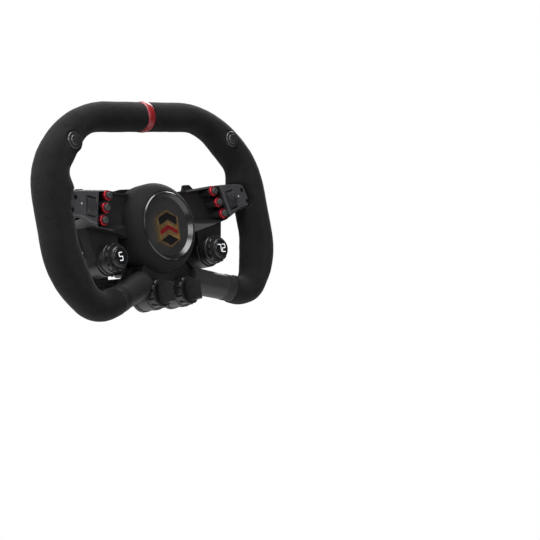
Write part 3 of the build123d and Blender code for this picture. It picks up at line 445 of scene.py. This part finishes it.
# ---------------------------------------------------------------- thumb rollers
# Ribbed rollers of dark rubberised plastic on steel axles carried by the housings.
# A small arrow printed on the panel points at the roller.
roller_grey = finish("roller_grey", dark=(0.02, 0.02, 0.023), light=(0.036, 0.036, 0.04),
                     rough=(0.38, 0.5), patch=0.004, grain=0.0004, relief=0.00006)
dress(roller_grey, "thumb_roller_left", "thumb_roller_right")
dress(steel, "roller_axles", "paddle_pins", "paddle_magnets")

print_white = finish("print_white", dark=(0.5, 0.5, 0.5), light=(0.6, 0.6, 0.6), rough=(0.5, 0.6),
                     patch=0.002, grain=0.0004, relief=0.000002)
arrow_size = 0.0013
arrow_thick = 0.00006
arrow_off_roller = 0.0105
arrow_over_axle = 0.003
arrows = bmesh.new()
panel_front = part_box("face_panel_left")[0].y
for side, toward in (("left", -1), ("right", 1)):
    roller_low, roller_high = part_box(f"thumb_roller_{side}")
    spot = (roller_low + roller_high) / 2
    place = Matrix.Translation((spot.x + toward * arrow_off_roller, panel_front - arrow_thick / 4,
                                spot.z + arrow_over_axle))
    bmesh.ops.create_cone(arrows, cap_ends=True, segments=3, radius1=arrow_size, radius2=arrow_size,
                          depth=arrow_thick, matrix=place @ Matrix.Rotation(math.radians(90), 4, "X"))
new_piece("roller_arrows", arrows, print_white, "wheel", smooth=20)

# ---------------------------------------------------------------- thumb buttons
# Gloss-black cups let into a swelling of the grip, each with a low domed cap.
# A small switch lies at the bottom of each cup.
thumb_gloss = finish("thumb_gloss", dark=(0.018, 0.018, 0.019), light=(0.025, 0.025, 0.027),
                     rough=(0.22, 0.3), patch=0.006, grain=0.0008, relief=0.000003, Coat_Weight=0.4,
                     Coat_Roughness=0.15)
dress(thumb_gloss, "thumb_bezels", "thumb_button_left", "thumb_button_right")

# ---------------------------------------------------------------- display dials
# A pod on the arm's underside carries a stem with a round display.
# A castellated ring turns about the stem; the figures are lit bars on the face of the window.
knob_black = finish("knob_black", dark=(0.013, 0.013, 0.014), light=(0.019, 0.019, 0.020),
                    rough=(0.3, 0.4), patch=0.005, grain=0.0004, relief=0.000006)
lens_dark = finish("lens_dark", dark=(0.003, 0.003, 0.0035), light=(0.005, 0.005, 0.0055),
                   rough=(0.08, 0.14), patch=0.01, grain=0.002, relief=0.00001, Coat_Weight=0.5,
                   Coat_Roughness=0.05)
dress(satin_black, "display_pod_left", "display_pod_right")
dress(knob_black, "dial_left", "dial_right", "dial_base_rings")
dress(lens_dark, "display_lenses")

figure_tall = 0.0072
figure_wide = 0.0040
figure_bar = 0.00062
figure_thick = 0.00006
figure_pitch = figure_wide * 1.4
figure_white = finish("figure_white", dark=(0.72, 0.74, 0.76), light=(0.8, 0.82, 0.84),
                      rough=(0.4, 0.5), patch=0.002, grain=0.0004, relief=0.000002,
                      Emission_Color=(0.9, 0.95, 1, 1), Emission_Strength=0.7)
half_tall = figure_tall / 2
bars = {"a": (0, half_tall, 1), "d": (0, -half_tall, 1), "g": (0, 0, 1), "b": (1, half_tall / 2, 0),
        "c": (1, -half_tall / 2, 0), "f": (-1, half_tall / 2, 0), "e": (-1, -half_tall / 2, 0)}
lit_bars = {"7": "abc", "2": "abged", "5": "afgcd"}


def figures(name, side, text):
    """Lit seven-bar figures on a display window."""
    low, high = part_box(f"dial_{side}")
    across = (low.x + high.x) / 2 - (len(text) - 1) * figure_pitch / 2
    up = (low.z + high.z) / 2
    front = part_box("display_lenses")[0].y
    lit = bmesh.new()
    for place, digit in enumerate(text):
        for bar in lit_bars[digit]:
            aside, height, flat = bars[bar]
            long = (figure_wide if flat else half_tall) - figure_bar * 0.3
            size = (long, figure_thick, figure_bar) if flat else (figure_bar, figure_thick, long)
            middle = across + place * figure_pitch + aside * figure_wide / 2
            spot = (middle, front - figure_thick / 4, up + height)
            bmesh.ops.create_cube(lit, size=1,
                                  matrix=Matrix.Translation(spot) @ Matrix.Diagonal((*size, 1)))
    new_piece(name, lit, figure_white, "wheel", smooth=20)


figures("display_figures_left", "left", "5")
figures("display_figures_right", "right", "72")

# ---------------------------------------------------------------- lower tubes and collars
# Tapered aluminium tubes, bead-blasted and anodised black, screwed to the spoke plate.
# A ribbed rubber collar closes each joint to the grip.
blasted = finish("blasted_black_tube", dark=(0.030, 0.030, 0.031), light=(0.038, 0.038, 0.039),
                 rough=(0.38, 0.46), patch=0.02, grain=0.0004, relief=0.00003, Metallic=0.5)
collar_rubber = finish("collar_rubber", dark=(0.010, 0.010, 0.011), light=(0.018, 0.018, 0.019),
                       rough=(0.45, 0.6), patch=0.005, grain=0.0005, relief=0.00005)
dress(blasted, "lower_tube_left", "lower_tube_right")
dress(collar_rubber, "grip_collars")

# ---------------------------------------------------------------- selectors
# Two rotary switches under the hub: a castellated skirt with a raised wing, each on a fixed ring.
dress(satin_black, "selector_housing")
dress(knob_black, "selector_left", "selector_right", "selector_bases")

# ---------------------------------------------------------------- paddles
# A milled module behind the plate carries two pins; carbon blades swing on them against magnets.
carbon = finish("carbon_plate", dark=(0.006, 0.006, 0.0065), light=(0.012, 0.012, 0.013),
                rough=(0.24, 0.34), patch=0.01, grain=0.0004, relief=0.00001, Coat_Weight=0.5,
                Coat_Roughness=0.12)
weave = carbon.node_tree.nodes
knit = carbon.node_tree.links
tow_place = weave.new("ShaderNodeTexCoord")
tow_turn = weave.new("ShaderNodeMapping")
tow_turn.inputs["Rotation"].default_value = (0, math.radians(45), 0)
knit.new(tow_place.outputs["Object"], tow_turn.inputs["Vector"])
tows = weave.new("ShaderNodeTexChecker")
tows.inputs["Scale"].default_value = 420
knit.new(tow_turn.outputs["Vector"], tows.inputs["Vector"])
tow_shade = weave.new("ShaderNodeMix")
tow_shade.data_type = "RGBA"
tow_shade.inputs["A"].default_value = (0.006, 0.006, 0.0065, 1)
tow_shade.inputs["B"].default_value = (0.026, 0.026, 0.028, 1)
knit.new(tows.outputs["Fac"], tow_shade.inputs["Factor"])
knit.new(tow_shade.outputs["Result"], weave["Principled BSDF"].inputs["Base Color"])
dress(black_anodised, "paddle_module")
dress(carbon, "shift_paddle_left", "shift_paddle_right", "clutch_paddle_left", "clutch_paddle_right")

# ---------------------------------------------------------------- quick release
# Turned aluminium socket with a sliding sleeve, six locking balls and a contact puck in the bore.
brass = finish("contact_brass", dark=(0.6, 0.42, 0.16), light=(0.75, 0.55, 0.25), rough=(0.2, 0.32),
               patch=0.002, grain=0.0003, relief=0.00002, Metallic=1.0)
dress(black_anodised, "qr_body")
dress(steel, "qr_sleeve", "qr_balls", "qr_spring")
dress(brass, "connector_puck")

# ---------------------------------------------------------------- studio
# A pale floor well below the wheel, and four softboxes: overhead, left, behind on the right, in front.
floor_level = -0.62
floor_mesh = bmesh.new()
bmesh.ops.create_circle(floor_mesh, cap_ends=True, radius=1.2, segments=96,
                        matrix=Matrix.Translation((0, 0, floor_level)))
floor_data = bpy.data.meshes.new("floor")
floor_mesh.to_mesh(floor_data)
floor_mesh.free()
floor = bpy.data.objects.new("floor", floor_data)
bpy.context.scene.collection.objects.link(floor)
floor_paint = finish("floor_paint", dark=(0.78, 0.78, 0.77), light=(0.82, 0.82, 0.81),
                     rough=(0.7, 0.8), patch=0.4, grain=0.004, relief=0.0001)
floor_data.materials.append(floor_paint)

world = bpy.data.worlds.new("studio")
bpy.context.scene.world = world
world.use_nodes = True
room = world.node_tree
room.nodes["Background"].inputs["Color"].default_value = (1, 1, 1, 1)
room.nodes["Background"].inputs["Strength"].default_value = 0.09
backdrop = room.nodes.new("ShaderNodeBackground")
backdrop.inputs["Color"].default_value = (1, 1, 1, 1)
backdrop.inputs["Strength"].default_value = 1.0
seen = room.nodes.new("ShaderNodeLightPath")
either = room.nodes.new("ShaderNodeMixShader")
room.links.new(seen.outputs["Is Camera Ray"], either.inputs["Fac"])
room.links.new(room.nodes["Background"].outputs["Background"], either.inputs[1])
room.links.new(backdrop.outputs["Background"], either.inputs[2])
room.links.new(either.outputs["Shader"], room.nodes["World Output"].inputs["Surface"])


def soft_light(name, where, target, size, power):
    """Square softbox aimed at a point."""
    lamp = bpy.data.lights.new(name, "AREA")
    lamp.shape = "RECTANGLE"
    lamp.size, lamp.size_y = size
    lamp.energy = power
    box = bpy.data.objects.new(name, lamp)
    box.location = where
    box.rotation_euler = (Vector(target) - Vector(where)).to_track_quat("-Z", "Y").to_euler()
    bpy.context.scene.collection.objects.link(box)


soft_light("top_light", (-0.25, -0.2, 1.2), (0, -0.07, 0), (1.1, 1.1), 30)
soft_light("left_light", (-1.3, -0.1, 0.55), (0, -0.07, 0), (1.6, 0.8), 24)
soft_light("rear_right_light", (1.25, 0.45, 0.95), (0, -0.07, 0), (0.7, 0.7), 14)
soft_light("front_fill", (-0.2, -1.8, 0.3), (0, -0.07, 0), (1.2, 0.9), 8)

bpy.context.scene.view_settings.view_transform = "Standard"

to_right = Vector((0.65182906, -0.74268782, -0.15340689))
to_top = Vector((0.06699018, -0.14510645, 0.9871456))
to_back = Vector((-0.75540134, -0.65372694, -0.04483181))
lens = bpy.data.cameras.new("camera")
lens.sensor_width = 36
lens.lens = 103.43
lens.clip_start = 0.05
lens.clip_end = 30
camera = bpy.data.objects.new("camera", lens)
camera.matrix_world = Matrix((to_right, to_top, to_back)).transposed().to_4x4()
camera.location = (-1.0220, -1.0746, -0.1187)
bpy.context.scene.collection.objects.link(camera)
bpy.context.scene.camera = camera
